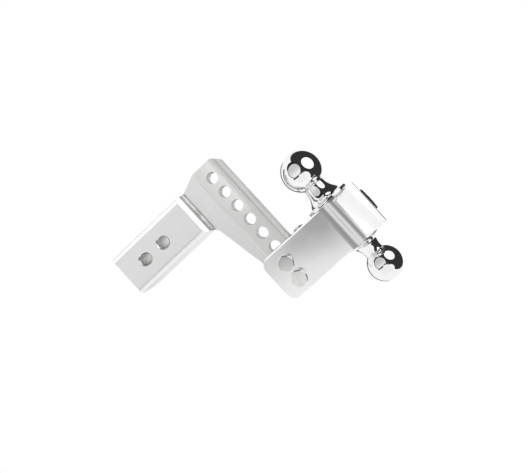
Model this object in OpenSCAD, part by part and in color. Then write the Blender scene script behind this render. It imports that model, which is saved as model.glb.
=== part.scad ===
// Adjustable drop hitch with a reversible two-ball mount.
// +X runs from the shank to the balls, +Y to the lock side, +Z up.
// The origin is the centre of the shank hole nearest the drop bar.

/* [Shank] */
// Width and height of the square shank
shank_w = 63; // [50:0.5:76]
// Corner radius of the shank
shank_r = 8; // [3:0.5:10]
// Shank length ahead of the origin hole
shank_nose = 72; // [60:1:120]
// Shank length behind the origin hole, up to the shoulder
shank_tail = 52; // [35:1:90]
// Diameter of the receiver pin holes
receiver_hole_d = 16.7; // [13:0.1:17]
// Distance between the two receiver pin holes
receiver_hole_step = 34; // [28:1:45]
// Width of the bevel around each receiver pin hole
receiver_hole_bevel = 1.6; // [0.4:0.1:2]
// Bevel round the shank's front end
nose_bevel = 1.5; // [0.5:0.5:3]
// Chamfer on each side of the shoulder
shoulder_cut = 5; // [3:0.5:9]

/* [Drop bar] */
// Thickness of the machined bar that the ball mount straddles
bar_t = 25.4; // [20:0.2:32]
// Thickness of the web between the shank and the bar
web_t = 23; // [16:0.5:25]
// Distance from the origin hole to the line of height holes
bar_x = 107; // [98:1:140]
// Bar ahead of the height holes
bar_front = 18.5; // [14:0.5:22]
// Bar behind the height holes
bar_rear = 26; // [18:0.2:30]
// Number of height holes
height_holes = 8; // [5:1:9]
// Distance between height holes
height_pitch = 25.4; // [25:0.1:31]
// Height of the top hole over the shank's centre line
top_hole_z = 20; // [12:1:30]
// Bar left above the top hole and below the bottom hole
bar_end = 22; // [14:0.5:26]
// Radius of the bar's rear upright edges
bar_edge_r = 9.5; // [4:0.5:10]
// Chamfer across the bar's top rear corner
bar_corner_cut = 11; // [6:0.5:16]
// Radius of the hollow under the shank
web_fillet_r = 12; // [6:1:18]

/* [Ball mount] */
// Thickness of each clevis arm
arm_t = 12.7; // [9:0.1:16]
// Side play between the arms and the bar
arm_play = 0.4; // [0.3:0.1:0.8]
// Height of the ball mount
mount_h = 69.8; // [64:0.2:84]
// Arm ahead of the pins
arm_front = 30.8; // [24:0.2:34]
// Corner radius of the arm's front end
arm_corner_r = 14; // [6:1:20]
// Edge radius of the arms
arm_edge_r = 2.5; // [1:0.5:4]
// Play between the bar's rear face and the mount
crotch_play = 2; // [1:0.5:5]
// Distance from the pins to the ball axis
ball_reach = 94; // [86:1:120]
// Distance from the ball axis to the mount's rear face
block_rear = 39.5; // [36:0.5:48]
// Greatest half width of the ball block
block_half_w = 38; // [34:0.5:44]
// Edge radius of the ball block
block_edge_r = 7; // [3:0.5:9]
// Radius of the block's side in plan
block_side_r = 90; // [70:5:150]
// Length of the S-curve from the arm to the block
s_len = 26; // [22:1:32]
// Corner radius of the block's rear face
rear_corner_r = 4; // [2:0.5:6]

/* [Balls] */
// Diameter of the upper ball
big_ball_d = 58.74; // [47:0.01:76]
// Height of the upper ball's centre over the mount
big_ball_rise = 54; // [50:1:64]
// Neck diameter of the upper ball
big_neck_d = 31; // [24:0.5:36]
// Flange diameter of the upper ball
big_flange_d = 65.5; // [50:0.5:70]
// Diameter of the upper ball's shank
big_shank_d = 31.75; // [25:0.05:34]
// Diameter of the lower ball
small_ball_d = 50.8; // [47:0.01:60]
// Drop of the lower ball's centre below the mount
small_ball_rise = 44.6; // [42:0.2:56]
// Neck diameter of the lower ball
small_neck_d = 27; // [22:0.5:30]
// Flange diameter of the lower ball
small_flange_d = 52; // [44:0.2:60]
// Diameter of the lower ball's shank
small_shank_d = 25.4; // [19:0.1:28]

/* [Pins and locks] */
// Diameter of the hitch pins
pin_d = 15.9; // [13:0.05:16]
// Play between a hitch pin and its hole, all round
pin_play = 0.4; // [0.2:0.05:0.8]
// Diameter of the pin heads
pin_head_d = 22.2; // [19:0.1:24]
// Length of the pin heads
pin_head_l = 25; // [10:1:34]
// Outside diameter of the lock barrels
barrel_d = 23.6; // [22:0.1:24.4]
// Length of the lock barrels
barrel_l = 34; // [32:1:42]
// Diameter of the key plugs
plug_d = 11; // [9:0.5:12]

/* [Caps and plug] */
// Diameter of the rear cap
cap_d = 34; // [32:0.5:40]
// How far the cap stands out of the block
cap_out = 4; // [1:0.1:6]
// Diameter of the domed plug on top of the mount
top_plug_d = 17.6; // [14:0.2:24]
// Height of the plug's dome
top_plug_h = 3.6; // [2:0.1:6]

/* [Hidden] */
$fn = 96;
eps = 0.02;
over = 1;

shank_h = shank_w / 2;
shoulder_in_r = 6.5;
shoulder_x = shank_tail + shoulder_cut;
web_x = shoulder_x + shoulder_in_r;

height_hole_d = pin_d + 2 * pin_play;
bar_x0 = bar_x - bar_front;
bar_x1 = bar_x + bar_rear;
bar_z1 = top_hole_z + bar_end;
last_hole_z = top_hole_z - (height_holes - 1) * height_pitch;
bar_foot_cut = 4.5;
bar_z0 = last_hole_z - bar_end + bar_foot_cut;
pad_bevel = (bar_t - web_t) / 2;
ramp_step = 5;
ramp_x = shoulder_x + ramp_step;
web_foot_h = 8;
web_foot_z = bar_z0 + web_foot_h;
web_drop = -shank_h - web_foot_z;
web_lean = atan((bar_x0 - web_x) / web_drop);
fillet_back = web_fillet_r * tan((90 - web_lean) / 2);
fillet_low = [web_x + fillet_back * sin(web_lean), -shank_h - fillet_back * cos(web_lean)];
fillet_high = [web_x - fillet_back, -shank_h];

// The ball mount hangs on the two lowest height holes.
pin_z = [last_hole_z + height_pitch, last_hole_z];
mount_z = last_hole_z + height_pitch / 2;
mount_h2 = mount_h / 2;
arm_in = bar_t / 2 + arm_play;
arm_out = arm_in + arm_t;
arm_x0 = bar_x - arm_front;
crotch_x = bar_x1 + crotch_play;
ball_x = bar_x + ball_reach;
rear_x = ball_x + block_rear;
widest_back = 8;
widest_x = ball_x + widest_back;
s_x = widest_x - s_len;
s_rise = block_half_w - arm_out;
s_turn = 2 * atan(s_rise / s_len);
s_r = s_len / (2 * sin(s_turn));
side_c = block_side_r - block_half_w;
rear_corner_x = rear_x - rear_corner_r;
function side_y(x) = sqrt(pow(block_side_r, 2) - pow(x - widest_x, 2)) - side_c;
rear_corner_y = side_y(rear_corner_x) - rear_corner_r;
top_plug_lead = 2;
top_plug_x = crotch_x + top_plug_lead + top_plug_d / 2;
top_plug_r = (pow(top_plug_d / 2, 2) + pow(top_plug_h, 2)) / (2 * top_plug_h);
top_plug_stem_d = 10;
top_plug_stem_l = 7;
top_plug_end = 0.5;
top_plug_play = 0.03;

thread_play = 0.03;
shank_gap = 2;
shank_l = mount_h2 - shank_gap / 2;
big_flange_rim = 3.8;
small_flange_rim = 2.8;
big_flare_r = 26;
small_flare_r = 18;
flange_lip = 0.5;

lock_screw_d = 8;
lock_screw_l = 14;
lock_screw_z = 8.5;
lock_screw_play = 0.03;
lock_hex_d = 4.6;
lock_hex_l = 4;
lock_pad_d = 7;
lock_pad_l = 3;
lock_pad_play = 0.1;
lock_bore_lead = 1;
lock_bore_x = ball_x + small_shank_d / 2 - lock_bore_lead;
function lock_pad_x(s) = ball_x + (s > 0 ? big_shank_d : small_shank_d) / 2 + lock_pad_play;
cap_pocket_d = 28;
cap_pocket_l = 5;
cap_spigot_l = 4;
cap_spigot_play = 0.1;
cap_wall = 4;
cap_floor = 1;
cap_seal_d = 1.7;
cap_groove = 1.8;

washer_t = 1.6;
washer_inset = 0.3;
head_y = -arm_out - washer_t;
pin_proud = 6;
pin_shoulder_y = arm_out + pin_proud;
pin_neck_d = 7.2;
pin_neck_l = 5.2;
pin_key_w = 12.4;
pin_key_t = 6.6;
pin_key_l = 4;
pin_key_play = 0.4;
pin_head_bevel = 1;

seal_t = 1.2;
seal_inset = 0.5;
seal_play = 0.2;
barrel_y0 = arm_out + seal_t;
barrel_y1 = barrel_y0 + barrel_l;
mouth_play = 0.4;
barrel_mouth_d = pin_d + 2 * mouth_play;
turn_play = 0.35;
retainer_d = 18;
retainer_gap = 0.8;
retainer_y0 = pin_shoulder_y + retainer_gap;
retainer_plate = 3.2;
retainer_back = 2.4;
retainer_well_play = 1.2;
retainer_well_l = pin_key_l + pin_neck_l - retainer_plate + retainer_well_play;
retainer_y1 = retainer_y0 + retainer_plate + retainer_well_l + retainer_back;
retainer_well_d = 15;
press_play = 0.02;
ring_gap = 0.4;
ring_y = retainer_y1 + ring_gap;
plug_sunk = 0.6;
plug_y1 = barrel_y1 - plug_sunk;
keyway_l = 9;
keyway_w = 2.2;
keyway_h = 7.4;
cover_pivot = 7.5;
cover_pin_d = 3;
rivet_stem_d = 2;
rivet_stem_l = 4;
cover_r = 6.8;
cover_t = 1.4;
cover_gap = 0.4;
cover_y = barrel_y1 + cover_gap;
cover_play = 0.05;
rivet_head_d = 5;
rivet_head_t = 1.2;
rivet_gap = 0.3;
rivet_head_y = cover_y + cover_t + rivet_gap;

// A round bar along +Y from y0 to y1, centred on the pin axis.
module along_y(d, y0, y1) {
    translate([0, y0, 0])
        rotate([-90, 0, 0])
            cylinder(d = d, h = y1 - y0);
}

// Moves a pin or lock part to its place in the bar.
module at_pin(i) {
    translate([bar_x, 0, pin_z[i]])
        children();
}

// Rounded rectangle with true arcs, centred on the origin.
module round_rect(w, h, r) {
    square([w - 2 * r, h], center = true);
    square([w, h - 2 * r], center = true);
    for (sx = [-1, 1], sy = [-1, 1])
        translate([sx * (w / 2 - r), sy * (h / 2 - r)])
            circle(r);
}

// One side's half of a plan, mirrored across the centre line.
module both_sides() {
    children();
    mirror([0, 1])
        children();
}

// Turns a plan drawn in X and Y into a solid from z0 to z1.
module upright(z0, z1) {
    translate([0, 0, z0])
        linear_extrude(z1 - z0)
            children();
}

// Turns a side outline drawn in X and Z into a solid w wide.
module sideways(w) {
    rotate([90, 0, 0])
        linear_extrude(w, center = true)
            children();
}

// Turns a section drawn in Y and Z into a solid from x0 to x1.
module lengthways(x0, x1) {
    translate([x0, 0, 0])
        rotate([90, 0, 90])
            linear_extrude(x1 - x0)
                children();
}

// Side or plan of the shank, with its front corners bevelled.
module shank_outline() {
    polygon([[-shank_nose, nose_bevel - shank_h], [nose_bevel - shank_nose, -shank_h],
             [shoulder_x + over, -shank_h], [shoulder_x + over, shank_h],
             [nose_bevel - shank_nose, shank_h], [-shank_nose, shank_h - nose_bevel]]);
}

// Plan of the shoulder's chamfers, open towards the shank's front end.
module shoulder_plan() {
    polygon([[-shank_nose - over, -shank_h], [shank_tail, -shank_h],
             [shoulder_x, shoulder_cut - shank_h], [shoulder_x, shank_h - shoulder_cut],
             [shank_tail, shank_h], [-shank_nose - over, shank_h]]);
}

// The shank, chamfered at the shoulder and filleted into the web.
module shank_body() {
    intersection() {
        lengthways(-shank_nose, shoulder_x)
            round_rect(shank_w, shank_w, shank_r);
        sideways(shank_w)
            shank_outline();
        upright(-shank_w, shank_w)
            intersection() {
                shank_outline();
                shoulder_plan();
            }
    }
    intersection() {
        lengthways(shank_tail, web_x)
            round_rect(shank_w, shank_w, shank_r);
        upright(-shank_w, shank_w)
            difference() {
                translate([shank_tail, -web_t / 2 - shoulder_in_r])
                    square([shoulder_cut + shoulder_in_r, web_t + 2 * shoulder_in_r]);
                both_sides()
                    translate([web_x, web_t / 2 + shoulder_in_r])
                        circle(shoulder_in_r);
            }
    }
}

// The web: ramp on top, hollow under the shank, long taper down the front.
module web_body() {
    sideways(web_t)
        difference() {
            polygon([[shank_tail - shank_r, shank_h], [ramp_x, shank_h], [bar_x0, bar_z1],
                     [bar_x0 + 2 * pad_bevel, bar_z1], [bar_x0 + 2 * pad_bevel, bar_z0],
                     [bar_x0, bar_z0], [bar_x0, web_foot_z], fillet_low, fillet_high,
                     [shank_tail - shank_r, -shank_h]]);
            translate([fillet_high[0], -shank_h - web_fillet_r])
                circle(web_fillet_r);
        }
}

// The machined bar, with bevelled front edges and round rear edges.
module bar_body() {
    intersection() {
        upright(bar_z0, bar_z1)
            difference() {
                translate([bar_x0, -bar_t / 2])
                    square([bar_x1 - bar_x0, bar_t]);
                both_sides() {
                    translate([bar_x0, web_t / 2])
                        rotate(45)
                            square(2 * pad_bevel);
                    difference() {
                        translate([bar_x1 - bar_edge_r, bar_t / 2 - bar_edge_r])
                            square(2 * bar_edge_r);
                        translate([bar_x1 - bar_edge_r, bar_t / 2 - bar_edge_r])
                            circle(bar_edge_r);
                    }
                }
            }
        sideways(bar_t)
            polygon([[bar_x0, bar_z0], [bar_x1, bar_z0], [bar_x1, bar_z1 - bar_corner_cut],
                     [bar_x1 - bar_corner_cut, bar_z1], [bar_x0, bar_z1]]);
    }
}

// A bevelled receiver pin hole through the shank.
module receiver_hole(x) {
    translate([x, 0, 0]) {
        along_y(receiver_hole_d, -shank_h - over, shank_h + over);
        for (s = [0, 1])
            mirror([0, s, 0])
                translate([0, shank_h - receiver_hole_bevel, 0])
                    rotate([-90, 0, 0])
                        cylinder(d1 = receiver_hole_d,
                                 d2 = receiver_hole_d + 2 * receiver_hole_bevel + 2 * eps,
                                 h = receiver_hole_bevel + eps);
    }
}

// Height holes in the bar, from the top one down.
module height_hole_row() {
    for (i = [0 : height_holes - 1])
        translate([bar_x, 0, top_hole_z - i * height_pitch])
            along_y(height_hole_d, -bar_t, bar_t);
}

module drawbar() {
    color("gainsboro")
        difference() {
            union() {
                shank_body();
                web_body();
                bar_body();
            }
            receiver_hole(0);
            receiver_hole(-receiver_hole_step);
            height_hole_row();
        }
}

// Half plan of the ball mount: arm, S-curve and block.
module mount_half_plan() {
    s_mid = s_x + s_len / 2;
    s_mid_y = arm_out + s_rise / 2;
    translate([arm_x0, 0])
        square([s_x - arm_x0 + eps, arm_out]);
    translate([s_x, 0])
        square([s_len, arm_out]);
    difference() {
        translate([s_x, arm_out - eps])
            square([s_len / 2, s_rise / 2 + eps]);
        translate([s_x, arm_out + s_r])
            circle(s_r);
    }
    intersection() {
        translate([s_mid - eps, arm_out - eps])
            square([s_len / 2 + eps, s_rise + eps]);
        translate([widest_x, block_half_w - s_r])
            circle(s_r);
    }
    intersection() {
        translate([widest_x - eps, 0])
            square([rear_corner_x - widest_x + eps, block_half_w]);
        translate([widest_x, -side_c])
            circle(block_side_r, $fn = 4 * $fn);
    }
    translate([rear_corner_x - eps, 0])
        square([rear_corner_r + eps, rear_corner_y]);
    intersection() {
        translate([rear_corner_x - eps, 0])
            square([rear_corner_r + eps, block_half_w]);
        translate([rear_corner_x, rear_corner_y])
            circle(rear_corner_r);
    }
}

// Side outline of the ball mount, about the mount's own centre line.
module mount_side() {
    front_c = mount_h2 - arm_corner_r;
    rear_c = mount_h2 - rear_corner_r;
    translate([arm_x0 + arm_corner_r, -mount_h2])
        square([rear_corner_x - arm_x0 - arm_corner_r, mount_h]);
    translate([arm_x0, -front_c])
        square([arm_corner_r + over, 2 * front_c]);
    translate([rear_corner_x - over, -rear_c])
        square([rear_corner_r + over, 2 * rear_c]);
    for (s = [-1, 1]) {
        translate([arm_x0 + arm_corner_r, s * front_c])
            circle(arm_corner_r);
        translate([rear_corner_x, s * rear_c])
            circle(rear_corner_r);
    }
}

module ball_mount() {
    color("whitesmoke")
        difference() {
            translate([0, 0, mount_z])
                difference() {
                    intersection() {
                        upright(-mount_h2, mount_h2)
                            both_sides()
                                mount_half_plan();
                        sideways(2 * block_half_w)
                            mount_side();
                        union() {
                            lengthways(arm_x0, s_x)
                                round_rect(2 * arm_out, mount_h, arm_edge_r);
                            lengthways(s_x - eps, rear_x)
                                round_rect(2 * block_half_w, mount_h, block_edge_r);
                        }
                    }
                    translate([arm_x0 - over, -arm_in, -mount_h])
                        cube([crotch_x - arm_x0 + over, 2 * arm_in, 2 * mount_h]);
                    translate([ball_x, 0, 0])
                        cylinder(d = big_shank_d + 2 * thread_play, h = mount_h2 + over);
                    translate([ball_x, 0, -mount_h2 - over])
                        cylinder(d = small_shank_d + 2 * thread_play, h = mount_h2 + over + eps);
                    translate([top_plug_x, 0, mount_h2 - top_plug_stem_l - top_plug_end])
                        cylinder(d = top_plug_stem_d + 2 * top_plug_play, h = mount_h2);
                    translate([rear_x - cap_pocket_l, 0, 0])
                        rotate([0, 90, 0])
                            cylinder(d = cap_pocket_d, h = cap_pocket_l + over);
                    for (s = [-1, 1])
                        translate([lock_bore_x, 0, s * lock_screw_z])
                            rotate([0, 90, 0])
                                cylinder(d = lock_screw_d + 2 * lock_screw_play,
                                         h = rear_x - lock_bore_x);
                }
            for (i = [0, 1])
                at_pin(i)
                    along_y(height_hole_d, -arm_out - over, arm_out + over);
        }
}

// Domed plug that closes the drilled passage in the mount's top.
module top_plug() {
    color("silver")
        translate([top_plug_x, 0, mount_z + mount_h2]) {
            intersection() {
                translate([0, 0, top_plug_h - top_plug_r])
                    sphere(top_plug_r);
                cylinder(d = top_plug_d, h = top_plug_h + over);
            }
            translate([0, 0, -top_plug_stem_l])
                cylinder(d = top_plug_stem_d, h = top_plug_stem_l + eps);
        }
}

// A tow ball standing on its flange at z = 0, with its shank below.
// The shanks are plain where the real ones are threaded.
module tow_ball(d, rise, neck_d, flange_d, flare_r, rim, stem_d) {
    neck_top = rise - sqrt(pow(d / 2, 2) - pow(neck_d / 2, 2));
    flare_x = neck_d / 2 + flare_r;
    flare_tip = flange_d / 2 - flange_lip;
    flare_z = rim + sqrt(pow(flare_r, 2) - pow(flare_x - flare_tip, 2));
    translate([0, 0, rise])
        sphere(d = d);
    translate([0, 0, rim / 2])
        cylinder(d = neck_d, h = neck_top - rim / 2 + over);
    rotate_extrude()
        difference() {
            square([flare_tip, flare_z]);
            translate([flare_x, flare_z])
                circle(flare_r);
        }
    cylinder(d = flange_d, h = rim);
    translate([0, 0, -shank_l])
        cylinder(d = stem_d, h = shank_l + eps);
}

module large_ball() {
    color("silver")
        translate([ball_x, 0, mount_z + mount_h2])
            tow_ball(big_ball_d, big_ball_rise, big_neck_d, big_flange_d, big_flare_r,
                     big_flange_rim, big_shank_d);
}

module small_ball() {
    color("silver")
        translate([ball_x, 0, mount_z - mount_h2])
            mirror([0, 0, 1])
                tow_ball(small_ball_d, small_ball_rise, small_neck_d, small_flange_d, small_flare_r,
                         small_flange_rim, small_shank_d);
}

// Brass pads between each lock screw and its ball's shank.
module ball_lock_pads() {
    color("goldenrod")
        for (s = [-1, 1])
            translate([lock_pad_x(s), 0, mount_z + s * lock_screw_z])
                rotate([0, 90, 0])
                    cylinder(d = lock_pad_d, h = lock_pad_l);
}

// Grub screws that lock the balls' shanks.
module ball_lock_screws() {
    color("dimgray")
        for (s = [-1, 1])
            translate([lock_pad_x(s) + lock_pad_l, 0, mount_z + s * lock_screw_z])
                rotate([0, 90, 0])
                    difference() {
                        cylinder(d = lock_screw_d, h = lock_screw_l);
                        translate([0, 0, lock_screw_l - lock_hex_l])
                            cylinder(d = lock_hex_d, h = lock_hex_l + over, $fn = 6);
                    }
}

// Cap over the lock screws, with a grooved spigot for its seal.
module rear_cap() {
    color("dimgray")
        translate([rear_x, 0, mount_z])
            rotate([0, 90, 0])
                difference() {
                    union() {
                        cylinder(d = cap_d, h = cap_out);
                        translate([0, 0, -cap_spigot_l])
                            cylinder(d = cap_pocket_d - 2 * cap_spigot_play,
                                     h = cap_spigot_l + eps);
                    }
                    translate([0, 0, -cap_spigot_l / 2])
                        rotate_extrude()
                            translate([cap_pocket_d / 2 - cap_groove, -cap_groove / 2])
                                square(cap_groove);
                    translate([0, 0, -cap_spigot_l - over])
                        cylinder(d = cap_pocket_d - 2 * cap_wall,
                                 h = cap_spigot_l - cap_floor + over);
                }
}

module rear_cap_seal() {
    color("black")
        translate([rear_x - cap_spigot_l / 2, 0, mount_z])
            rotate([0, 90, 0])
                rotate_extrude()
                    translate([(cap_pocket_d - cap_groove) / 2, 0])
                        circle(d = cap_seal_d);
}

// One hitch pin: head, shank, neck and the two-sided key at its tip.
module hitch_pin() {
    key_y = pin_shoulder_y + pin_neck_l;
    along_y(pin_head_d, head_y - pin_head_l + pin_head_bevel, head_y);
    translate([0, head_y - pin_head_l, 0])
        rotate([-90, 0, 0])
            cylinder(d1 = pin_head_d - 2 * pin_head_bevel, d2 = pin_head_d, h = pin_head_bevel + eps);
    along_y(pin_d, head_y - eps, pin_shoulder_y);
    along_y(pin_neck_d, pin_shoulder_y - eps, key_y + eps);
    intersection() {
        along_y(pin_key_w, key_y, key_y + pin_key_l);
        translate([-pin_key_t / 2, key_y - over, -pin_key_w])
            cube([pin_key_t, pin_key_l + 2 * over, 2 * pin_key_w]);
    }
}

module upper_pin() {
    color("silver")
        at_pin(0)
            hitch_pin();
}

module lower_pin() {
    color("silver")
        at_pin(1)
            hitch_pin();
}

// Rubber washer under the pin head, which stops rattle.
module head_washer() {
    difference() {
        along_y(pin_head_d - 2 * washer_inset, head_y, -arm_out);
        along_y(pin_d + 2 * press_play, head_y - over, -arm_out + over);
    }
}

module upper_pin_head_washer() {
    color("black")
        at_pin(0)
            head_washer();
}

module lower_pin_head_washer() {
    color("black")
        at_pin(1)
            head_washer();
}

// Lock barrel: a mouth for the pin, then one bore for the retainer and end ring.
module lock_barrel() {
    difference() {
        along_y(barrel_d, barrel_y0, barrel_y1);
        along_y(barrel_mouth_d, barrel_y0 - over, retainer_y0);
        along_y(retainer_d + 2 * turn_play, retainer_y0 - turn_play, barrel_y1 + over);
    }
}

module upper_lock_barrel() {
    color("silver")
        at_pin(0)
            lock_barrel();
}

module lower_lock_barrel() {
    color("silver")
        at_pin(1)
            lock_barrel();
}

// Rubber seal between the lock barrel and the arm.
module lock_seal() {
    difference() {
        along_y(barrel_d - 2 * seal_inset, arm_out, barrel_y0);
        along_y(barrel_mouth_d + 2 * seal_play, arm_out - over, barrel_y0 + over);
    }
}

module upper_lock_seal() {
    color("black")
        at_pin(0)
            lock_seal();
}

module lower_lock_seal() {
    color("black")
        at_pin(1)
            lock_seal();
}

// Turning retainer: a slotted plate that traps the pin's key at a quarter turn.
module retainer() {
    plate_y = retainer_y0 + retainer_plate;
    difference() {
        along_y(retainer_d, retainer_y0, retainer_y1);
        along_y(retainer_well_d, plate_y, plate_y + retainer_well_l);
        intersection() {
            along_y(pin_key_w + 2 * pin_key_play, retainer_y0 - over, plate_y + over);
            translate([-pin_key_t / 2 - pin_key_play, retainer_y0 - 2 * over, -pin_key_w])
                cube([pin_key_t + 2 * pin_key_play, retainer_plate + 4 * over, 2 * pin_key_w]);
        }
        along_y(pin_neck_d + 2 * pin_key_play, retainer_y0 - over, plate_y + over);
    }
}

module upper_retainer() {
    color("gray")
        at_pin(0)
            retainer();
}

module lower_retainer() {
    color("gray")
        at_pin(1)
            retainer();
}

// Key plug with its blind keyway.
module key_plug() {
    difference() {
        along_y(plug_d, retainer_y1, plug_y1);
        translate([-keyway_w / 2, plug_y1 - keyway_l, -keyway_h / 2])
            cube([keyway_w, keyway_l + over, keyway_h]);
    }
}

module upper_key_plug() {
    color("goldenrod")
        at_pin(0)
            key_plug();
}

module lower_key_plug() {
    color("goldenrod")
        at_pin(1)
            key_plug();
}

// Ring pressed into the barrel's end, which keeps the retainer in.
module lock_end_ring() {
    difference() {
        along_y(retainer_d + 2 * (turn_play - press_play), ring_y, barrel_y1);
        along_y(plug_d + 2 * turn_play, ring_y - over, barrel_y1 + over);
        translate([0, 0, cover_pivot])
            along_y(rivet_stem_d + 2 * press_play, barrel_y1 - rivet_stem_l, barrel_y1 + over);
    }
}

module upper_lock_end_ring() {
    color("gainsboro")
        at_pin(0)
            lock_end_ring();
}

module lower_lock_end_ring() {
    color("gainsboro")
        at_pin(1)
            lock_end_ring();
}

// Weather cover that hangs from its rivet over the keyway.
module lock_cover() {
    difference() {
        union() {
            along_y(2 * cover_r, cover_y, cover_y + cover_t);
            translate([-cover_pin_d, cover_y, 0])
                cube([2 * cover_pin_d, cover_t, cover_pivot]);
            translate([0, 0, cover_pivot])
                along_y(2 * cover_pin_d, cover_y, cover_y + cover_t);
        }
        translate([0, 0, cover_pivot])
            along_y(cover_pin_d + 2 * cover_play, cover_y - over, cover_y + cover_t + over);
    }
}

module upper_lock_cover() {
    color("dimgray")
        at_pin(0)
            lock_cover();
}

module lower_lock_cover() {
    color("dimgray")
        at_pin(1)
            lock_cover();
}

// Shouldered rivet that the weather cover swings on.
module cover_rivet() {
    translate([0, 0, cover_pivot]) {
        along_y(rivet_stem_d, barrel_y1 - rivet_stem_l, barrel_y1 + eps);
        along_y(cover_pin_d, barrel_y1, rivet_head_y + eps);
        along_y(rivet_head_d, rivet_head_y, rivet_head_y + rivet_head_t);
    }
}

module upper_cover_rivet() {
    color("silver")
        at_pin(0)
            cover_rivet();
}

module lower_cover_rivet() {
    color("silver")
        at_pin(1)
            cover_rivet();
}

drawbar();
ball_mount();
large_ball();
small_ball();
ball_lock_screws();
ball_lock_pads();
rear_cap();
rear_cap_seal();
top_plug();
upper_pin();
lower_pin();
upper_pin_head_washer();
lower_pin_head_washer();
upper_lock_barrel();
lower_lock_barrel();
upper_lock_seal();
lower_lock_seal();
upper_retainer();
lower_retainer();
upper_key_plug();
lower_key_plug();
upper_lock_end_ring();
lower_lock_end_ring();
upper_lock_cover();
lower_lock_cover();
upper_cover_rivet();
lower_cover_rivet();
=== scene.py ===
import math
import bmesh
import bpy
from mathutils import Matrix, Vector


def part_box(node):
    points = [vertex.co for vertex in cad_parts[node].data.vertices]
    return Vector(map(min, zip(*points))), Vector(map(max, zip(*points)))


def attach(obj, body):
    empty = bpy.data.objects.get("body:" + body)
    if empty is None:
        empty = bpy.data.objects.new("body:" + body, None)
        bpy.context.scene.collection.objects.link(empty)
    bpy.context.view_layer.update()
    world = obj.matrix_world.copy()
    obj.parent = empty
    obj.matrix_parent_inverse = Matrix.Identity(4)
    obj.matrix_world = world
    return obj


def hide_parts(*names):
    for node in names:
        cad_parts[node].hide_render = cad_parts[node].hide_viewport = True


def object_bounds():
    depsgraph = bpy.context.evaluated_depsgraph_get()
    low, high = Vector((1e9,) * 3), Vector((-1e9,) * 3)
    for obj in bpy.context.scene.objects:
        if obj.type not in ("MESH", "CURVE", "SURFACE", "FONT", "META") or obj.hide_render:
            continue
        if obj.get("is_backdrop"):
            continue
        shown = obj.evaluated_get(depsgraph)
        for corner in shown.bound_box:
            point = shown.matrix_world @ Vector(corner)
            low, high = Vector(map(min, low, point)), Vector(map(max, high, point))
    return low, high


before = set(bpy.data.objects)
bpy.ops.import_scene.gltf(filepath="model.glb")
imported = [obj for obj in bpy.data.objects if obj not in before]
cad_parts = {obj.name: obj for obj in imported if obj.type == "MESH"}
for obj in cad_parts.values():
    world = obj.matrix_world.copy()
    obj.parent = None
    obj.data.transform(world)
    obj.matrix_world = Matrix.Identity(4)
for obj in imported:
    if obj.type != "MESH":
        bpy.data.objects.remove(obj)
cad_low, cad_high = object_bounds()
scene = bpy.context.scene
MM = 0.001

# ---------------------------------------------------------------------------
# Camera: on the pin heads' side, level with the ball mount and rolled so that
# the shank slopes down to the left.
# ---------------------------------------------------------------------------
camera_data = bpy.data.cameras.new("camera")
camera_data.sensor_width = 36
camera_data.lens = 34.1
camera = bpy.data.objects.new("camera", camera_data)
scene.collection.objects.link(camera)
scene.camera = camera
camera_place = Vector((0.1992, -0.6929, -0.0944))
camera_back = Vector((0.135, -0.991, -0.009)).normalized()
camera_lean = Vector((0.671, 0.085, 0.737))
camera_right = camera_lean.cross(camera_back).normalized()
camera_up = camera_back.cross(camera_right)
camera_turn = Matrix((camera_right, camera_up, camera_back)).transposed().to_4x4()
camera.matrix_world = Matrix.Translation(camera_place) @ camera_turn

# ---------------------------------------------------------------------------
# Studio: a white room with one black wall on the balls' side, black card
# overhead and a big grey reflector up at the front left. Three flat cards
# stand low in front, and a round softbox hangs on the right.
# ---------------------------------------------------------------------------
scene.view_settings.view_transform = "Standard"
world = bpy.data.worlds.new("studio")
scene.world = world
world.use_nodes = True
room = world.node_tree
room.nodes.clear()


def fill(tree, socket, value):
    """Sets a socket to a number or vector, or wires another node's output to it."""
    if isinstance(value, bpy.types.NodeSocket):
        tree.links.new(value, socket)
    else:
        socket.default_value = value


def number(tree, operation, *values):
    """One step of arithmetic on numbers."""
    node = tree.nodes.new("ShaderNodeMath")
    node.operation = operation
    for socket, value in zip(node.inputs, values):
        fill(tree, socket, value)
    return node.outputs["Value"]


def spread(tree, value, start, end, low=0.0, high=1.0):
    """Maps start..end smoothly onto low..high."""
    node = tree.nodes.new("ShaderNodeMapRange")
    node.interpolation_type = "SMOOTHSTEP"
    for socket, given in zip(node.inputs, (value, start, end, low, high)):
        fill(tree, socket, given)
    return node.outputs["Result"]


def blend(tree, mask, first, second):
    """Goes from the first number to the second as the mask goes from 0 to 1."""
    node = tree.nodes.new("ShaderNodeMix")
    for name, value in (("Factor", mask), ("A", first), ("B", second)):
        fill(tree, node.inputs[name], value)
    return node.outputs["Result"]


heading = room.nodes.new("ShaderNodeTexCoord").outputs["Generated"]


def facing(direction):
    """How far each heading of the room points along a direction."""
    node = room.nodes.new("ShaderNodeVectorMath")
    node.operation = "DOT_PRODUCT"
    fill(room, node.inputs[0], heading)
    node.inputs[1].default_value = direction
    return node.outputs["Value"]


def cone(reach, half_angle):
    """A round part of the room, softened by a degree each way at its rim."""
    outer = math.cos(math.radians(half_angle + 1))
    inner = math.cos(math.radians(half_angle - 1))
    return spread(room, reach, outer, inner)


def patch(azimuth, height, half_angle):
    """A round patch of the room; azimuth runs from -Y towards +X, both in degrees."""
    turn = math.radians(azimuth)
    tilt = math.radians(height)
    centre = (math.sin(turn) * math.cos(tilt), -math.cos(turn) * math.cos(tilt), math.sin(tilt))
    return cone(facing(centre), half_angle)


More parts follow.
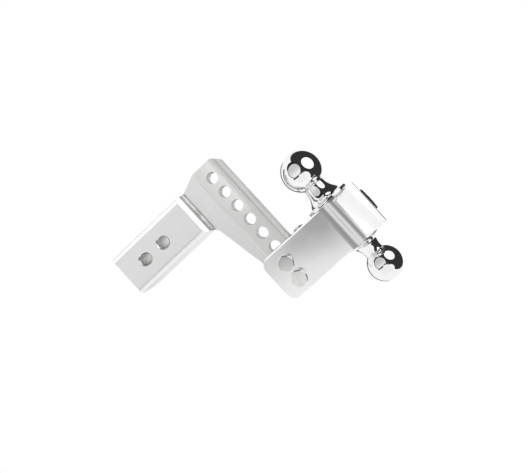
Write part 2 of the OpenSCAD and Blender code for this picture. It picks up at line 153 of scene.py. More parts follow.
black_wall = spread(room, facing((1, -0.25, 0.2)), 0.19, 0.23)
behind = facing((-0.135, 0.991, 0.009))
back_ring = number(room, "SUBTRACT", cone(behind, 43), cone(behind, 29))
left_side = spread(room, facing((-1, 0, 0)), 0.15, 0.3)
dark_gap = number(room, "MULTIPLY", back_ring, left_side)
low_front = patch(0, -38, 27.5)
overhead = patch(-29, 51, 27.5)
reflector_frame = patch(-25, 27, 38)
reflector = patch(-25, 27, 34.5)
reflector_glow = spread(room, facing((0, 0, 1)), 0.05, 0.65, 0.9, 0.6)
seen = room.nodes.new("ShaderNodeLightPath").outputs["Is Camera Ray"]

light = blend(room, black_wall, 1.0, 0.035)
light = blend(room, low_front, light, 1.0)
light = blend(room, overhead, light, 0.02)
light = blend(room, reflector_frame, light, 0.03)
light = blend(room, reflector, light, reflector_glow)
light = blend(room, dark_gap, light, 0.1)
light = blend(room, seen, light, 1.0)
background = room.nodes.new("ShaderNodeBackground")
background.inputs["Color"].default_value = (1, 1, 1, 1)
fill(room, background.inputs["Strength"], light)
room_out = room.nodes.new("ShaderNodeOutputWorld")
room.links.new(background.outputs["Background"], room_out.inputs["Surface"])


def studio_lamp(name, shape, width, height, place, aim, glow, only_on=()):
    """A flat lamp of a given glow; it may be screened off from all but a few pieces."""
    tube = bpy.data.lights.new(name, "AREA")
    tube.shape = shape
    tube.size = width
    tube.size_y = height
    area = width * height * (math.pi / 4 if shape == "ELLIPSE" else 1)
    tube.energy = glow * math.pi * area
    lamp = bpy.data.objects.new(name, tube)
    scene.collection.objects.link(lamp)
    turn = (Vector(place) - Vector(aim)).to_track_quat("Z", "Y").to_matrix().to_4x4()
    lamp.matrix_world = Matrix.Translation(place) @ turn
    lamp.visible_camera = False
    if only_on:
        lit = bpy.data.collections.new(name + "_lights")
        for piece in only_on:
            lit.objects.link(piece)
        lamp.light_linking.receiver_collection = lit
    return lamp


softbox = studio_lamp("softbox", "ELLIPSE", 0.66, 0.66, place=(0.686, -0.28, 0.013), aim=(0.2, 0, -0.13),
                      glow=1.25)


def card(name, corners, y, glow):
    """A flat card standing in front of the object, glowing by its own light."""
    form = bmesh.new()
    form.faces.new([form.verts.new((x, y, z)) for x, z in corners])
    mesh = bpy.data.meshes.new(name)
    form.to_mesh(mesh)
    form.free()
    made = bpy.data.objects.new(name, mesh)
    scene.collection.objects.link(made)
    paint = bpy.data.materials.new(name + "_paint")
    paint.use_nodes = True
    shade = paint.node_tree.nodes["Principled BSDF"]
    shade.inputs["Base Color"].default_value = (0.02, 0.02, 0.02, 1)
    shade.inputs["Emission Color"].default_value = (1, 1, 1, 1)
    shade.inputs["Emission Strength"].default_value = glow
    mesh.materials.append(paint)
    made.visible_camera = False
    made.visible_shadow = False
    made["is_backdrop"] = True


card_y = -0.88
white_corners = [(-1.2, -1.3), (0.33, -1.3), (0.33, -0.3), (0.2, -0.25), (0, -0.18), (-0.15, -0.155),
                 (-0.15, -0.28), (-1.2, -0.3)]
dark_corners = [(-1.2, -0.3), (-0.15, -0.28), (-0.15, -0.12), (-1.2, -0.12)]
grey_corners = [(-0.15, -0.155), (0, -0.18), (0.2, -0.25), (0.2, -0.06), (0, -0.12), (-0.15, -0.13)]
card("low_white_card", white_corners, card_y, 0.88)
card("dark_strip", dark_corners, card_y, 0.03)
card("grey_strip", grey_corners, card_y, 0.12)

floor_drop = 0.12
floor_z = cad_low.z - floor_drop
floor_form = bmesh.new()
bmesh.ops.create_grid(floor_form, x_segments=1, y_segments=1, size=30)
bmesh.ops.translate(floor_form, verts=floor_form.verts, vec=(0, 0, floor_z))
floor_mesh = bpy.data.meshes.new("floor")
floor_form.to_mesh(floor_mesh)
floor_form.free()
floor = bpy.data.objects.new("floor", floor_mesh)
scene.collection.objects.link(floor)
floor_paint = bpy.data.materials.new("floor_paint")
floor_paint.use_nodes = True
floor_shader = floor_paint.node_tree.nodes["Principled BSDF"]
floor_shader.inputs["Base Color"].default_value = (0.9, 0.9, 0.9, 1)
floor_shader.inputs["Roughness"].default_value = 0.9
floor_shader.inputs["Emission Color"].default_value = (1, 1, 1, 1)
floor_shader.inputs["Emission Strength"].default_value = 0.62
floor_mesh.materials.append(floor_paint)
# The metal mirrors the room's own light instead of the floor.
floor.visible_glossy = False
floor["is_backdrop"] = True

# ---------------------------------------------------------------------------
# Drawbar: forged aluminium, blasted to a soft satin on the shank and web, with
# painted shade in the shoulder's inside corner. The bar that the mount straddles
# is milled, so it has fine lines along it. Its edges are broken by 0.6 mm.
# ---------------------------------------------------------------------------
forged_light = (0.96, 0.96, 0.955)
forged_dark = (0.91, 0.91, 0.905)
milled_light = (0.95, 0.95, 0.935)
milled_dark = (0.84, 0.84, 0.825)
corner_painted_shade = (0.33, 0.33, 0.325)
bore_soft_painted_shade = (0.75, 0.75, 0.74)
bore_deep_painted_shade = (0.4, 0.4, 0.395)
bar_start = 88.4 * MM
drilled_r = 8.4 * MM
hole_x = 107 * MM
top_hole_z = 20 * MM
hole_pitch = 25.4 * MM
half_row = 3.5 * hole_pitch
shank_hole_step = 34 * MM
shoulder_x = 57 * MM
shoulder_half_w = 26.5 * MM
weld_reach = 0.001 * MM
sliver_w = 0.03 * MM
flat_turn = math.radians(0.3)
edge_turn = math.radians(30)
drawbar_edge = 0.6 * MM


def start_material(name):
    """A new material with its nodes and its shader."""
    made = bpy.data.materials.new(name)
    made.use_nodes = True
    return made, made.node_tree, made.node_tree.nodes["Principled BSDF"]


def grain(tree, scale, stretch=(1, 1, 1), detail=3.0, rough=0.55):
    """Noise fixed to the object; stretch below 1 draws it out along that axis."""
    coords = tree.nodes.new("ShaderNodeTexCoord").outputs["Object"]
    mapping = tree.nodes.new("ShaderNodeMapping")
    tree.links.new(coords, mapping.inputs["Vector"])
    mapping.inputs["Scale"].default_value = stretch
    noise = tree.nodes.new("ShaderNodeTexNoise")
    tree.links.new(mapping.outputs["Vector"], noise.inputs["Vector"])
    noise.inputs["Scale"].default_value = scale
    noise.inputs["Detail"].default_value = detail
    noise.inputs["Roughness"].default_value = rough
    return noise.outputs["Fac"]


def tint(tree, mask, first, second):
    """Mixes two colours, each a plain colour or another node's output."""
    node = tree.nodes.new("ShaderNodeMix")
    node.data_type = "RGBA"
    fill(tree, node.inputs["Factor"], mask)
    # The colour sockets share their names with the number ones, so they go by place.
    for socket, value in ((node.inputs[6], first), (node.inputs[7], second)):
        fill(tree, socket, (*value, 1) if isinstance(value, tuple) else value)
    return node.outputs[2]


def raise_surface(tree, shader, height, depth, strength):
    """Gives the surface fine relief, depth metres high."""
    bump = tree.nodes.new("ShaderNodeBump")
    bump.inputs["Strength"].default_value = strength
    bump.inputs["Distance"].default_value = depth
    tree.links.new(height, bump.inputs["Height"])
    tree.links.new(bump.outputs["Normal"], shader.inputs["Normal"])


def axes(tree):
    """The place on the object as three numbers, along X, Y and Z."""
    node = tree.nodes.new("ShaderNodeSeparateXYZ")
    coords = tree.nodes.new("ShaderNodeTexCoord").outputs["Object"]
    tree.links.new(coords, node.inputs["Vector"])
    return node.outputs["X"], node.outputs["Y"], node.outputs["Z"]


drawbar_finish, tree, shader = start_material("satin_forged_aluminium")
along_x, along_y, along_z = axes(tree)
milled = spread(tree, along_x, bar_start - 0.1 * MM, bar_start + 0.1 * MM)
blast = grain(tree, 1600, detail=2)
cloud = grain(tree, 22, detail=4)
lines = grain(tree, 1500, stretch=(1, 1, 0.012), detail=4, rough=0.7)
skin = tint(tree, spread(tree, cloud, 0.35, 0.65), forged_dark, forged_light)
cut_face = tint(tree, spread(tree, lines, 0.3, 0.7), milled_dark, milled_light)


def round_hole(across, up):
    """Covers the wall of a hole along Y, given the two distances from its axis."""
    squares = number(tree, "ADD", number(tree, "POWER", across, 2), number(tree, "POWER", up, 2))
    reach = number(tree, "SQRT", squares)
    return spread(tree, reach, drilled_r, drilled_r + 0.1 * MM, 1.0, 0.0)


up_from_top_hole = number(tree, "SUBTRACT", along_z, top_hole_z)
up_from_any_hole = number(tree, "WRAP", up_from_top_hole, hole_pitch / 2, -hole_pitch / 2)
from_row_middle = number(tree, "ABSOLUTE", number(tree, "ADD", up_from_top_hole, half_row))
in_row = spread(tree, from_row_middle, half_row + 0.4 * hole_pitch, half_row + 0.41 * hole_pitch, 1.0, 0.0)
bar_hole = round_hole(number(tree, "SUBTRACT", along_x, hole_x), up_from_any_hole)
from_holes_middle = number(tree, "ABSOLUTE", number(tree, "ADD", along_x, shank_hole_step / 2))
shank_hole = round_hole(number(tree, "SUBTRACT", from_holes_middle, shank_hole_step / 2), along_z)
drilled = number(tree, "MAXIMUM", number(tree, "MULTIPLY", bar_hole, in_row), shank_hole)
bore_speckle = grain(tree, 420, stretch=(1, 0.4, 1), detail=4, rough=0.7)
off_centre = number(tree, "ABSOLUTE", along_y)
# Painted shade: the shoulder's inside corner is coloured darker, fading out along the web and broken up by
# a cloud.
inside = spread(tree, off_centre, shoulder_half_w - 0.3 * MM, shoulder_half_w, 1.0, 0.0)
past_shoulder = spread(tree, along_x, shoulder_x - 0.2 * MM, shoulder_x + 0.2 * MM)
corner_fades = spread(tree, along_x, shoulder_x + 2 * MM, shoulder_x + 8 * MM, 1.0, 0.0)
corner_cloud = spread(tree, grain(tree, 90, detail=4), 0.3, 0.6, 0.7, 1.0)
for part in (past_shoulder, corner_fades, corner_cloud):
    inside = number(tree, "MULTIPLY", inside, part)
skin = tint(tree, inside, skin, corner_painted_shade)
# Painted shade: the holes' walls are coloured darker than the outside, deepest in the bar's holes and
# lighter in the shank's, broken up by specks.
specks = spread(tree, bore_speckle, 0.4, 0.6)
bar_bore = tint(tree, specks, bore_deep_painted_shade, bore_soft_painted_shade)
shank_bore = tint(tree, specks, bore_soft_painted_shade, forged_light)
bore = tint(tree, shank_hole, bar_bore, shank_bore)
outside = tint(tree, milled, skin, cut_face)
tree.links.new(tint(tree, drilled, outside, bore), shader.inputs["Base Color"])
skin_rough = spread(tree, cloud, 0.3, 0.7, 0.3, 0.37)
cut_rough = spread(tree, lines, 0.3, 0.7, 0.34, 0.46)
outer_rough = blend(tree, milled, skin_rough, cut_rough)
tree.links.new(blend(tree, drilled, outer_rough, 0.5), shader.inputs["Roughness"])
raise_surface(tree, shader, blend(tree, milled, blast, lines), 0.012 * MM, 0.5)
shader.inputs["Metallic"].default_value = 1.0


def cut_copy(node, name, body, finish, edge):
    """A copy of a CAD node with flat faces joined and edges broken by edge metres."""
    form = bmesh.new()
    form.from_mesh(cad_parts[node].data)
    bmesh.ops.remove_doubles(form, verts=form.verts, dist=weld_reach)
    bmesh.ops.dissolve_limit(form, angle_limit=flat_turn, verts=form.verts, edges=form.edges)
    bmesh.ops.remove_doubles(form, verts=form.verts, dist=sliver_w)
    for face in form.faces:
        face.smooth = True
    mesh = bpy.data.meshes.new(name)
    form.to_mesh(mesh)
    form.free()
    # The CAD's stored normals would spoil the shading of the new edges.
    mesh.attributes.remove(mesh.attributes["custom_normal"])
    piece = bpy.data.objects.new(name, mesh)
    scene.collection.objects.link(piece)
    mesh.materials.append(finish)
    bevel = piece.modifiers.new("broken_edges", "BEVEL")
    bevel.width = edge
    bevel.segments = 3
    bevel.limit_method = "ANGLE"
    bevel.angle_limit = edge_turn
    bevel.harden_normals = True
    flats = piece.modifiers.new("flat_faces_stay_flat", "WEIGHTED_NORMAL")
    flats.mode = "FACE_AREA"
    flats.weight = 100
    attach(piece, body)
    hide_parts(node)
    return piece


drawbar_piece = cut_copy("drawbar", "drawbar_forging", "hitch", drawbar_finish,
                         drawbar_edge)

# The softbox is screened off from the drawbar, which has two lamps of its own:
# a big one for the bar and a slip of light for the shoulder's bevel.
screened = bpy.data.collections.new("softbox_screened_off")
screened.objects.link(drawbar_piece)
screened.collection_objects[0].light_linking.link_state = "EXCLUDE"
softbox.light_linking.receiver_collection = screened
studio_lamp("bar_lamp", "RECTANGLE", 2.4, 1.6, place=(1.21, -0.51, -0.05), aim=(0.12, 0, -0.07),
            glow=0.72, only_on=[drawbar_piece])
studio_lamp("shoulder_lamp", "RECTANGLE", 0.03, 0.1, place=(0.12, -0.047, 0.01), aim=(0, -0.047, 0.01),
            glow=2.0, only_on=[drawbar_piece])

# ---------------------------------------------------------------------------
# Ball mount: machined from a block of aluminium and polished, with very fine
# brush lines that run up and down the arms. The swells between the arms and
# the block are duller, and their colour is painted shade and reflection:
# darkest in the bends, a lighter grey band in the middle. Edges are broken by 1.2 mm.
# ---------------------------------------------------------------------------
polished_light = (0.95, 0.95, 0.95)
polished_dark = (0.9, 0.9, 0.9)
swell_middle_painted_band = (0.74, 0.74, 0.74)
bend_painted_shade = (0.45, 0.45, 0.45)
swell_start = 183 * MM
widest_x = 209 * MM
mount_edge = 1.2 * MM

mount_finish, tree, shader = start_material("polished_aluminium")
brush = grain(tree, 1300, stretch=(1, 1, 0.02), detail=4, rough=0.65)
cloud = grain(tree, 30, detail=3)
wear = number(tree, "MULTIPLY", spread(tree, brush, 0.3, 0.7), spread(tree, cloud, 0.35, 0.7))
along_x = axes(tree)[0]
swell_begins = spread(tree, along_x, swell_start - 1.5 * MM, swell_start + 1.5 * MM)
swell_ends = spread(tree, along_x, widest_x - 4 * MM, widest_x - 2 * MM, 1.0, 0.0)
swell = number(tree, "MULTIPLY", swell_begins, swell_ends)
polish = tint(tree, wear, polished_light, polished_dark)
# Painted shade and reflection: the swells are coloured darker in their bends and a lighter grey in their
# middle.
swell_middle = (swell_start + widest_x) / 2
off_middle = number(tree, "ABSOLUTE", number(tree, "SUBTRACT", along_x, swell_middle))
swell_painted_bands = tint(tree, spread(tree, off_middle, 3.5 * MM, 7.5 * MM), swell_middle_painted_band, bend_painted_shade)
tree.links.new(tint(tree, swell, polish, swell_painted_bands), shader.inputs["Base Color"])
polish_rough = spread(tree, wear, 0.0, 1.0, 0.16, 0.21)
tree.links.new(blend(tree, swell, polish_rough, 0.3), shader.inputs["Roughness"])
shader.inputs["Anisotropic"].default_value = 0.65
upwards = tree.nodes.new("ShaderNodeCombineXYZ")
upwards.inputs["X"].default_value = 0.02
upwards.inputs["Z"].default_value = 1
tree.links.new(upwards.outputs["Vector"], shader.inputs["Tangent"])
raise_surface(tree, shader, brush, 0.003 * MM, 0.4)
shader.inputs["Metallic"].default_value = 1.0

mount_piece = cut_copy("ball_mount", "ball_mount_block", "hitch", mount_finish,
                       mount_edge)

# One lamp for the mount's near side, and two for the rear and top of both
# the mount and the drawbar.
studio_lamp("side_lamp", "RECTANGLE", 0.5, 0.27, place=(0.43, -0.53, -0.18), aim=(0.225, -0.038, -0.145),
            glow=0.95, only_on=[mount_piece])
studio_lamp("rear_lamp", "RECTANGLE", 1.6, 1.0, place=(0.9, 0.9, -0.1), aim=(0.24, 0, -0.145),
            glow=0.5, only_on=[drawbar_piece, mount_piece])
studio_lamp("top_lamp", "RECTANGLE", 0.9, 0.9, place=(-0.2, -0.6, 0.95), aim=(0.07, 0, -0.05),
            glow=1.0, only_on=[drawbar_piece, mount_piece])

# ---------------------------------------------------------------------------
# Tow balls: forged steel, turned and chromed. The neck flares into the flange
# with a cove, and the flange's rim has its edges broken. Each one's shank sits
# in its own half of the block.
# ---------------------------------------------------------------------------
chrome_light = (0.93, 0.93, 0.935)
chrome_dark = (0.88, 0.88, 0.885)
turn_steps = 160
neck_fillet = 1.4 * MM
rim_edge = 0.7 * MM
mount_low, mount_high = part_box("ball_mount")
ball_seat = {"large_ball": mount_high.z, "small_ball": mount_low.z}

chrome, tree, shader = start_material("chrome_plate")
haze = grain(tree, 60, detail=4)
pits = grain(tree, 900, detail=2)
chrome_colour = tint(tree, spread(tree, haze, 0.35, 0.7), chrome_light, chrome_dark)
tree.links.new(chrome_colour, shader.inputs["Base Color"])
tree.links.new(spread(tree, haze, 0.3, 0.75, 0.02, 0.045), shader.inputs["Roughness"])
raise_surface(tree, shader, pits, 0.001 * MM, 0.15)
shader.inputs["Metallic"].default_value = 1.0


def line_to(form, last, radius, height):
    """Carries a profile on to a point at a radius and height from the axis."""
    point = form.verts.new((radius, 0, height))
    form.edges.new((last, point))
    return point


def arc_to(form, last, radius, height, degrees, steps):
    """Carries a profile on round a centre at a radius and height."""
    turned = bmesh.ops.spin(form, geom=[last], cent=(radius, 0, height), axis=(0, -1, 0),
                            angle=math.radians(degrees), steps=steps)
    return next(part for part in turned["geom_last"] if isinstance(part, bmesh.types.BMVert))


def spin_round(form, steps):
    """Turns a profile about the axis into a closed skin facing outwards."""
    bmesh.ops.spin(form, geom=form.verts[:] + form.edges[:], cent=(0, 0, 0), axis=(0, 0, 1),
                   angle=math.radians(360), steps=steps, use_merge=True)
    bmesh.ops.remove_doubles(form, verts=form.verts, dist=weld_reach)
    bmesh.ops.recalc_face_normals(form, faces=form.faces)


def finish_turning(form, name, body, finish, node, sharp=30):
    """Makes the turned piece an object, rides it on its body and hides its CAD solid."""
    for face in form.faces:
        face.smooth = True
    for edge in form.edges:
        edge.smooth = edge.calc_face_angle(0) < math.radians(sharp)
    mesh = bpy.data.meshes.new(name)
    form.to_mesh(mesh)
    form.free()
    piece = bpy.data.objects.new(name, mesh)
    scene.collection.objects.link(piece)
    mesh.materials.append(finish)
    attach(piece, body)
    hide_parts(node)


def tow_ball(node, ball_d, neck_d, flange_d, stem_d, cove_r, rim, up):
    """One ball, built upwards from the flange's seat and turned over if up is -1."""
    low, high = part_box(node)
    centre_x = (low.x + high.x) / 2
    ball_r = ball_d / 2
    neck_r = neck_d / 2
    flange_r = flange_d / 2
    top = high.z if up > 0 else -low.z
    bottom = low.z if up > 0 else -high.z
    seat = ball_seat[node] * up
    ball_z = top - ball_r
    form = bmesh.new()
    last = form.verts.new((0, 0, bottom))
    last = line_to(form, last, stem_d / 2, bottom)
    last = line_to(form, last, stem_d / 2, seat)
    last = line_to(form, last, flange_r - rim_edge, seat)
    last = arc_to(form, last, flange_r - rim_edge, seat + rim_edge, 90, 5)
    last = line_to(form, last, flange_r, seat + rim - rim_edge)
    last = arc_to(form, last, flange_r - rim_edge, seat + rim - rim_edge, 90, 5)
    # The cove ends on the flange's top, just inside the rounding of its rim.
    cove_x = neck_r + cove_r
    cove_tip = min(flange_r - 1.4 * rim_edge, cove_x)
    cove_z = seat + rim + math.sqrt(cove_r ** 2 - (cove_x - cove_tip) ** 2)
    last = line_to(form, last, cove_tip, seat + rim)
    sweep = 90 - math.degrees(math.asin((cove_x - cove_tip) / cove_r))
    last = arc_to(form, last, cove_x, cove_z, -sweep, 24)
    fillet_x = neck_r + neck_fillet
    fillet_z = ball_z - math.sqrt((ball_r + neck_fillet) ** 2 - fillet_x ** 2)
    last = line_to(form, last, neck_r, fillet_z)
    meet = math.degrees(math.acos(fillet_x / (ball_r + neck_fillet)))
    last = arc_to(form, last, fillet_x, fillet_z, -meet, 5)
    arc_to(form, last, 0, ball_z, 90 + meet, 72)
    spin_round(form, turn_steps)
    if up < 0:
        bmesh.ops.scale(form, verts=form.verts, vec=(1, 1, -1))
        bmesh.ops.recalc_face_normals(form, faces=form.faces)
    bmesh.ops.translate(form, verts=form.verts, vec=(centre_x, 0, 0))
    finish_turning(form, node + "_turned", "hitch", chrome, node)


tow_ball("large_ball", ball_d=58.74 * MM, neck_d=31 * MM, flange_d=65.5 * MM, stem_d=31.75 * MM,
         cove_r=26 * MM, rim=3.8 * MM, up=1)
tow_ball("small_ball", ball_d=50.8 * MM, neck_d=27 * MM, flange_d=52 * MM, stem_d=25.4 * MM,
         cove_r=18 * MM, rim=2.8 * MM, up=-1)

# ---------------------------------------------------------------------------
# Ball lock screws and pads: black grub screws that press brass pads against
# the balls' shanks, behind the rear cap.
# ---------------------------------------------------------------------------


def turned_metal(name, light_colour, dark_colour, rough, relief, scale=500):
    """A plain metal with fine tool marks and slightly uneven gloss."""
    made, tree, shader = start_material(name)
    marks = grain(tree, scale, detail=4, rough=0.6)
    cloud = grain(tree, 45, detail=3)
    uneven = number(tree, "ADD", number(tree, "MULTIPLY", marks, 0.6), number(tree, "MULTIPLY", cloud, 0.4))
    colour = tint(tree, spread(tree, uneven, 0.35, 0.65), dark_colour, light_colour)
    tree.links.new(colour, shader.inputs["Base Color"])
    tree.links.new(spread(tree, uneven, 0.3, 0.7, rough, rough + 0.12), shader.inputs["Roughness"])
    raise_surface(tree, shader, marks, relief, 0.5)
    shader.inputs["Metallic"].default_value = 1.0
    return made


black_oxide = turned_metal("black_oxide_steel", (0.14, 0.14, 0.15), (0.05, 0.05, 0.055), 0.3, 0.006 * MM)
brass = turned_metal("turned_brass", (0.86, 0.68, 0.36), (0.72, 0.53, 0.24), 0.18, 0.005 * MM)
cut_copy("ball_lock_screws", "lock_grub_screws", "hitch", black_oxide, 0.3 * MM)
cut_copy("ball_lock_pads", "lock_brass_pads", "hitch", brass, 0.2 * MM)

# ---------------------------------------------------------------------------
# Rear cap and its seal: a turned cap, black anodised, with a knurled rim for
# the fingers, a raised boss in its sunk face and an O-ring on its spigot.
# ---------------------------------------------------------------------------
cap_low, cap_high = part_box("rear_cap")
cap_r = (cap_high.y - cap_low.y) / 2
cap_face = cap_high.x
block_face = mount_high.x
spigot_end = cap_low.x
spigot_r = 13.9 * MM
seal_groove_start = spigot_end + 1.1 * MM
seal_groove_end = spigot_end + 2.9 * MM
seal_groove_r = spigot_r - 1.7 * MM
hollow_r = 10 * MM
hollow_floor = spigot_end + 3 * MM
cap_edge = 0.6 * MM
rim_curve = 1.2 * cap_edge
rim_inner_r = cap_r - 2.5 * MM
sunk_face = cap_face - 0.8 * MM
boss_r = 7.5 * MM
boss_face = cap_face - 0.2 * MM
dimple_r = 3.2 * MM
dimple_floor = cap_face - 1.6 * MM
knurl_teeth = 60
knurl_depth = 0.35 * MM

cap_paint = turned_metal("black_anodised", (0.07, 0.07, 0.075), (0.03, 0.03, 0.033), 0.28, 0.004 * MM)
form = bmesh.new()
last = form.verts.new((0, 0, hollow_floor))
last = line_to(form, last, hollow_r, hollow_floor)
last = line_to(form, last, hollow_r, spigot_end)
last = line_to(form, last, spigot_r, spigot_end)
last = line_to(form, last, spigot_r, seal_groove_start)
last = line_to(form, last, seal_groove_r, seal_groove_start)
last = line_to(form, last, seal_groove_r, seal_groove_end)
last = line_to(form, last, spigot_r, seal_groove_end)
last = line_to(form, last, spigot_r, block_face)
last = line_to(form, last, cap_r - cap_edge, block_face)
last = line_to(form, last, cap_r, block_face + cap_edge)
last = line_to(form, last, cap_r, cap_face - rim_curve)
last = arc_to(form, last, cap_r - rim_curve, cap_face - rim_curve, 90, 4)
last = line_to(form, last, rim_inner_r, cap_face)
last = line_to(form, last, rim_inner_r - 0.6 * MM, sunk_face)
last = line_to(form, last, boss_r, sunk_face)
last = line_to(form, last, boss_r - 0.5 * MM, boss_face)
last = line_to(form, last, dimple_r, boss_face)
last = line_to(form, last, dimple_r - 0.4 * MM, dimple_floor)
line_to(form, last, 0, dimple_floor)
spin_round(form, 2 * knurl_teeth)
for vert in form.verts:
    radius = math.hypot(vert.co.x, vert.co.y)
    turn = math.degrees(math.atan2(vert.co.y, vert.co.x)) % 360
    if radius > cap_r - 0.01 * MM and round(turn * knurl_teeth / 180) % 2:
        shrink = (radius - knurl_depth) / radius
        vert.co.x *= shrink
        vert.co.y *= shrink
face_back = Matrix.Rotation(math.radians(90), 3, "Y")
bmesh.ops.rotate(form, verts=form.verts, cent=(0, 0, 0), matrix=face_back)
bmesh.ops.translate(form, verts=form.verts, vec=(0, 0, (mount_low.z + mount_high.z) / 2))
finish_turning(form, "rear_cap_turned", "hitch", cap_paint, "rear_cap", 20)


def moulded(name, light_colour, dark_colour, rough, relief, scale):
    """A moulded rubber or plastic with a fine matt skin."""
    made, tree, shader = start_material(name)
    skin = grain(tree, scale, detail=3)
    cloud = grain(tree, 80, detail=2)
    colour = tint(tree, spread(tree, cloud, 0.35, 0.65), dark_colour, light_colour)
    tree.links.new(colour, shader.inputs["Base Color"])
    tree.links.new(spread(tree, skin, 0.3, 0.7, rough - 0.08, rough + 0.08), shader.inputs["Roughness"])
    raise_surface(tree, shader, skin, relief, 0.6)
    return made


rubber = moulded("black_rubber", (0.04, 0.04, 0.042), (0.022, 0.022, 0.024), 0.62, 0.02 * MM, 2200)
cut_copy("rear_cap_seal", "rear_cap_o_ring", "hitch", rubber, 0.1 * MM)

# ---------------------------------------------------------------------------
# Top plug: a turned steel plug with a domed head, pressed into the drilled
# passage in the mount's top, just behind the bar.
# ---------------------------------------------------------------------------
pin_light = (0.86, 0.86, 0.84)
pin_dark = (0.74, 0.74, 0.72)

pin_steel = turned_metal("turned_pin_steel", pin_light, pin_dark, 0.16, 0.004 * MM, 900)
plug_stem_r = 5 * MM
small_turn_steps = 96
plug_low, plug_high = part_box("top_plug")
dome_r = (plug_high.y - plug_low.y) / 2
dome_h = plug_high.z - mount_high.z
dome_ball = (dome_r ** 2 + dome_h ** 2) / (2 * dome_h)
dome_turn = math.degrees(math.asin(dome_r / dome_ball))
form = bmesh.new()
last = form.verts.new((0, 0, plug_low.z))
last = line_to(form, last, plug_stem_r, plug_low.z)
last = line_to(form, last, plug_stem_r, mount_high.z)
last = line_to(form, last, dome_r, mount_high.z)
arc_to(form, last, 0, plug_high.z - dome_ball, dome_turn, 20)
spin_round(form, small_turn_steps)
bmesh.ops.translate(form, verts=form.verts, vec=((plug_low.x + plug_high.x) / 2, 0, 0))
finish_turning(form, "top_plug_turned", "hitch", pin_steel, "top_plug")

# ---------------------------------------------------------------------------
# Hitch pins: turned steel with tall round heads on the near side and a
# two-sided key at the far tip, each with a rubber washer under its head. They
# are left out of reflections, so that the mount's polish stays clean.
# ---------------------------------------------------------------------------
tool_ring_scale = 900

for place in ("upper", "lower"):
    node = place + "_pin"
    body = place + "_pin_body"
    low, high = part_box(node)
    made, tree, shader = start_material(place + "_pin_turned_steel")
    coords = tree.nodes.new("ShaderNodeTexCoord").outputs["Object"]
    centring = tree.nodes.new("ShaderNodeMapping")
    tree.links.new(coords, centring.inputs["Vector"])
    centring.inputs["Location"].default_value = (-(low.x + high.x) / 2, 0, -(low.z + high.z) / 2)
    rings = tree.nodes.new("ShaderNodeTexWave")
    rings.wave_type = "RINGS"
    rings.rings_direction = "Y"
    tree.links.new(centring.outputs["Vector"], rings.inputs["Vector"])
    rings.inputs["Scale"].default_value = tool_ring_scale
    rings.inputs["Distortion"].default_value = 1.5
    rings.inputs["Detail"].default_value = 2
    cloud = grain(tree, 120, detail=3)
    marks = number(tree, "MULTIPLY", rings.outputs["Fac"], spread(tree, cloud, 0.3, 0.7, 0.4, 1.0))
    tree.links.new(tint(tree, marks, pin_light, pin_dark), shader.inputs["Base Color"])
    tree.links.new(spread(tree, marks, 0.0, 1.0, 0.14, 0.24), shader.inputs["Roughness"])
    raise_surface(tree, shader, marks, 0.004 * MM, 0.4)
    shader.inputs["Metallic"].default_value = 1.0
    pin_piece = cut_copy(node, node + "_turned", body, made, 0.35 * MM)
    pin_piece.visible_glossy = False
    cut_copy(node + "_head_washer", node + "_washer", body, rubber, 0.25 * MM)

# ---------------------------------------------------------------------------
# Lock barrels: satin nickel tubes on the far ends of the pins, with two grip
# grooves, a rubber seal against the arm and an end ring pressed into each.
# ---------------------------------------------------------------------------
nickel = turned_metal("satin_nickel", (0.8, 0.78, 0.74), (0.68, 0.66, 0.62), 0.2, 0.004 * MM, 1000)
mouth_r = 8.35 * MM
bore_r = 9.35 * MM
barrel_edge = 0.8 * MM
grip_start = 7 * MM
grip_step = 4.5 * MM
grip_w = 2.2 * MM
grip_deep = 0.5 * MM
shelf_play = 0.35 * MM
face_out = Matrix.Rotation(math.radians(-90), 3, "X")

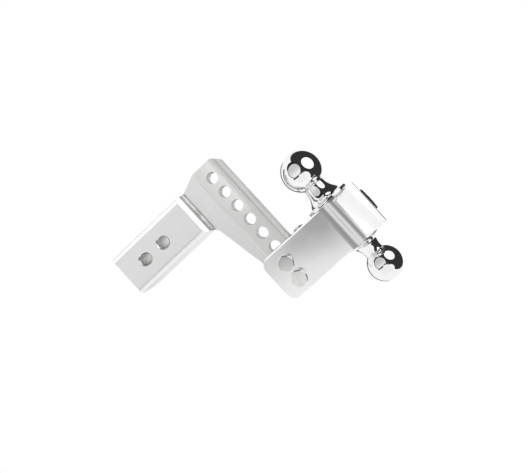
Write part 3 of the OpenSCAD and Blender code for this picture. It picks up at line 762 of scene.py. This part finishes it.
for place in ("upper", "lower"):
    node = place + "_lock_barrel"
    body = place + "_lock_body"
    low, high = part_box(node)
    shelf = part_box(place + "_retainer")[0].y - shelf_play
    outer_r = (high.x - low.x) / 2
    form = bmesh.new()
    first = form.verts.new((mouth_r, 0, low.y))
    last = line_to(form, first, outer_r - barrel_edge, low.y)
    last = arc_to(form, last, outer_r - barrel_edge, low.y + barrel_edge, 90, 5)
    for groove in range(2):
        start = low.y + grip_start + groove * grip_step
        last = line_to(form, last, outer_r, start)
        last = line_to(form, last, outer_r - grip_deep, start + grip_deep)
        last = line_to(form, last, outer_r - grip_deep, start + grip_w - grip_deep)
        last = line_to(form, last, outer_r, start + grip_w)
    last = line_to(form, last, outer_r, high.y - barrel_edge)
    last = arc_to(form, last, outer_r - barrel_edge, high.y - barrel_edge, 90, 5)
    last = line_to(form, last, bore_r, high.y)
    last = line_to(form, last, bore_r, shelf)
    last = line_to(form, last, mouth_r, shelf)
    form.edges.new((last, first))
    spin_round(form, small_turn_steps)
    bmesh.ops.rotate(form, verts=form.verts, cent=(0, 0, 0), matrix=face_out)
    bmesh.ops.translate(form, verts=form.verts, vec=((low.x + high.x) / 2, 0, (low.z + high.z) / 2))
    finish_turning(form, node + "_turned", body, nickel, node, 25)
    cut_copy(place + "_lock_seal", place + "_lock_seal_ring", body, rubber, 0.25 * MM)
    cut_copy(place + "_lock_end_ring", place + "_pressed_ring", body, nickel, 0.3 * MM)

# ---------------------------------------------------------------------------
# Retainers and key plugs: oiled steel discs with a slot for the pin's key, and
# brass plugs with the keyway. They turn together.
# ---------------------------------------------------------------------------
oiled_steel = turned_metal("oiled_steel", (0.5, 0.5, 0.51), (0.36, 0.36, 0.37), 0.24, 0.006 * MM, 800)
for place in ("upper", "lower"):
    body = place + "_key_body"
    cut_copy(place + "_retainer", place + "_slotted_retainer", body, oiled_steel,
             0.25 * MM)
    cut_copy(place + "_key_plug", place + "_keyway_plug", body, brass, 0.2 * MM)

# ---------------------------------------------------------------------------
# Weather covers and rivets: black plastic discs that hang over the keyways,
# each on a steel rivet.
# ---------------------------------------------------------------------------
plastic = moulded("black_plastic", (0.05, 0.05, 0.052), (0.03, 0.03, 0.032), 0.45, 0.015 * MM, 1800)
for place in ("upper", "lower"):
    cut_copy(place + "_lock_cover", place + "_weather_cover", place + "_cover_body", plastic,
             0.4 * MM)
    cut_copy(place + "_cover_rivet", place + "_rivet", place + "_lock_body", pin_steel,
             0.3 * MM)

# ---------------------------------------------------------------------------
# The finished model's box; the CAD box was taken at the start.
# ---------------------------------------------------------------------------
low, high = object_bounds()
